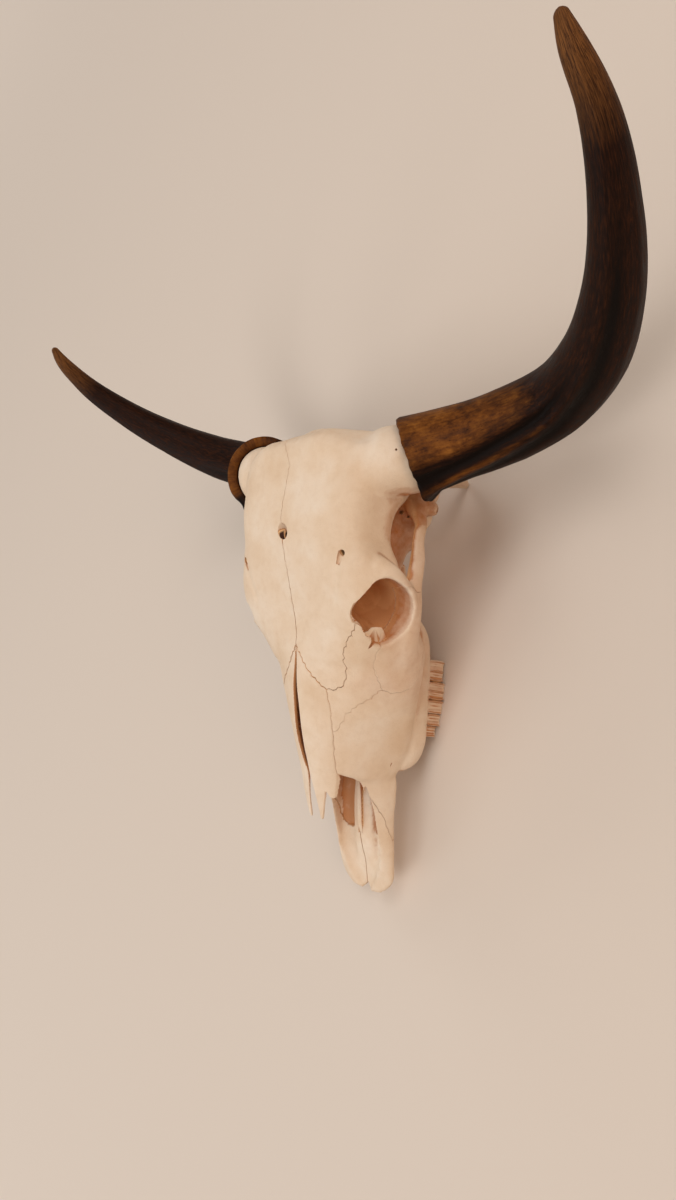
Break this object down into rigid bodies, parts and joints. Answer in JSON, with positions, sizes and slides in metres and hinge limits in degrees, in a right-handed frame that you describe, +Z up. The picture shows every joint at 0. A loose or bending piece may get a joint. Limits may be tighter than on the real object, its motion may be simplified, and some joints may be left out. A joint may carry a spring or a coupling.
{
  "type": "yak skull",
  "caption": "Life-size skull of a domestic yak with long upswept horn sheaths, upper cheek teeth and open nasal slit, lying on its teeth.",
  "frame": {"origin": "on the surface the skull rests on, below the middle of its width and of its whole length from muzzle to horn tips", "axes": "+X to the animal's left, +Y from the muzzle to the poll, +Z up out of the brow; the cheek teeth's grinding plane is z = 0"},
  "size_m": [0.8087, 0.6145, 0.3404],
  "materials": {
    "bone": "matte",
    "horn": "satin"
  },
  "bodies": {
    "root": {"cranium": "bone", "nasal_left": "bone", "nasal_right": "bone", "lacrimal_left": "bone", "lacrimal_right": "bone", "cheekbone_left": "bone", "cheekbone_right": "bone", "maxilla_left": "bone", "maxilla_right": "bone", "premaxilla_left": "bone", "premaxilla_right": "bone", "vomer": "bone", "horn_left": "horn", "horn_right": "horn"}
  },
  "joints": []
}
